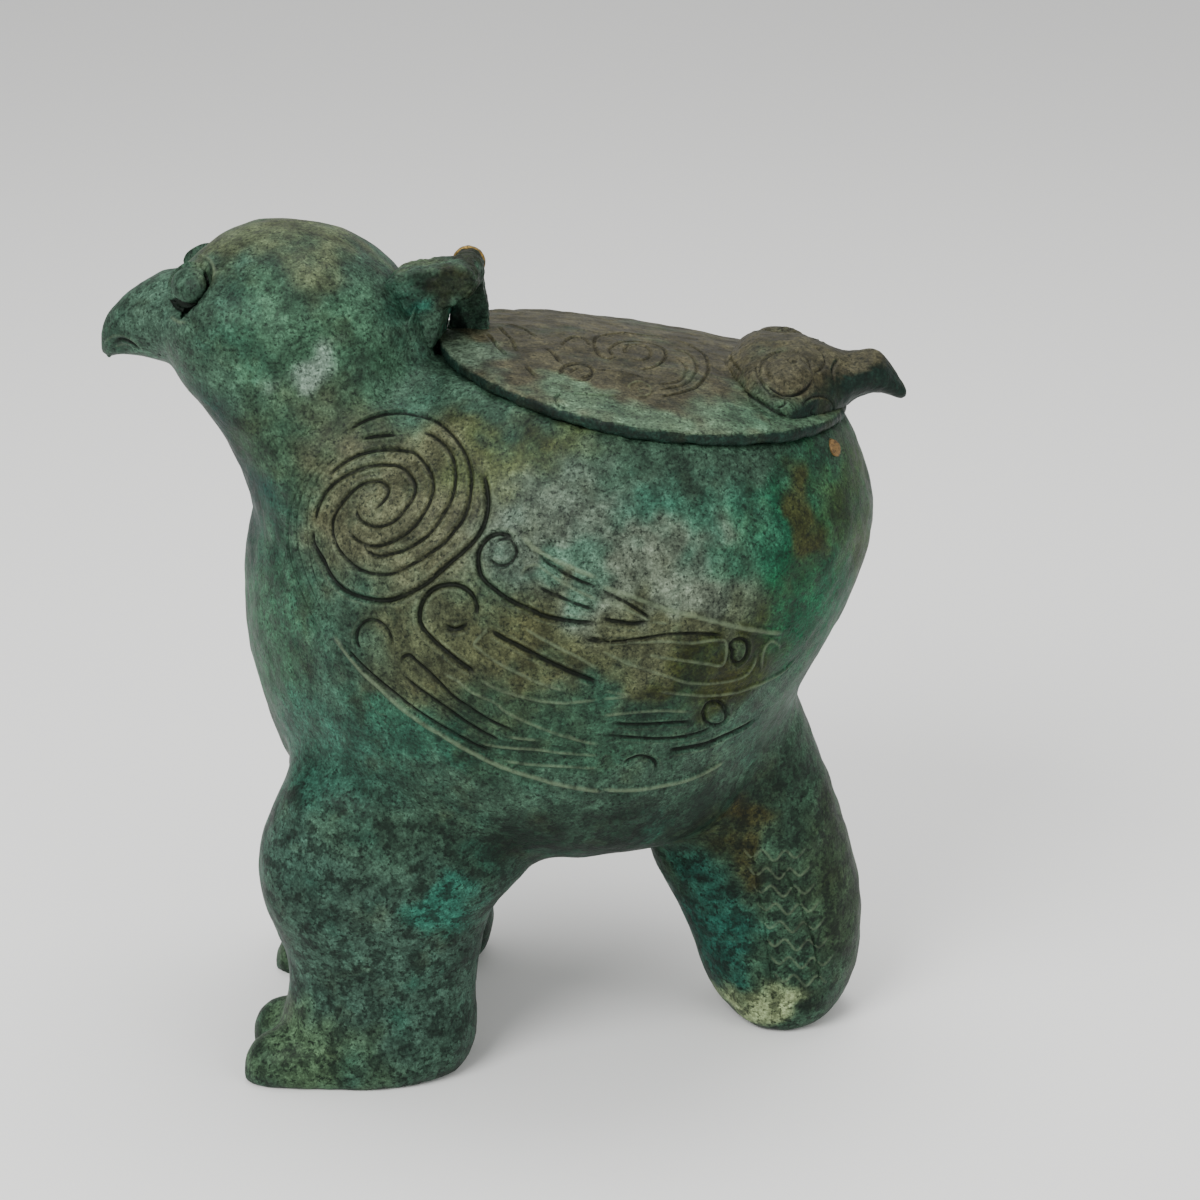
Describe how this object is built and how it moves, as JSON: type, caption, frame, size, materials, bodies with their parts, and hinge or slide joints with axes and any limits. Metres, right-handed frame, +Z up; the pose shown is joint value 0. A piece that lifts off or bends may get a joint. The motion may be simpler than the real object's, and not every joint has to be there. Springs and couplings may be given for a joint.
{
  "type": "bird-shaped bronze wine vessel",
  "caption": "Cast bronze vessel shaped as a standing bird, with a round lid hinged at the nape, stout legs and a broad tail as its third support.",
  "frame": {"origin": "on the ground, under the middle of the whole length", "axes": "the bird faces -X, its left side faces -Y, +Z is up"},
  "size_m": [0.2752, 0.1782, 0.2928],
  "materials": {
    "patinated_bronze": "matte green and brown patina over cast bronze",
    "copper_alloy_plug": "dull ochre repair metal",
    "worn_gilt_bronze": "worn to the golden metal",
    "clay_core": "fired casting clay"
  },
  "bodies": {
    "vessel": {"body_shell": "patinated_bronze", "rim_plug": "copper_alloy_plug", "left_leg": "patinated_bronze", "right_leg": "patinated_bronze", "left_leg_core": "clay_core", "right_leg_core": "clay_core", "tail_support": "patinated_bronze", "tail_core": "clay_core", "left_eye": "patinated_bronze", "right_eye": "patinated_bronze", "neck_hinge_lug": "patinated_bronze", "hinge_pin": "patinated_bronze", "hinge_collar": "worn_gilt_bronze"},
    "lid": {"lid": "patinated_bronze", "lid_bird_head": "patinated_bronze", "lid_hinge_arm": "patinated_bronze"}
  },
  "joints": [
    {"name": "lid_hinge", "type": "hinge", "parent": "vessel", "child": "lid", "pos_m": [-0.01183, 0, 0.27547], "axis": [0, -1, 0], "range_deg": [0, 110]}
  ]
}
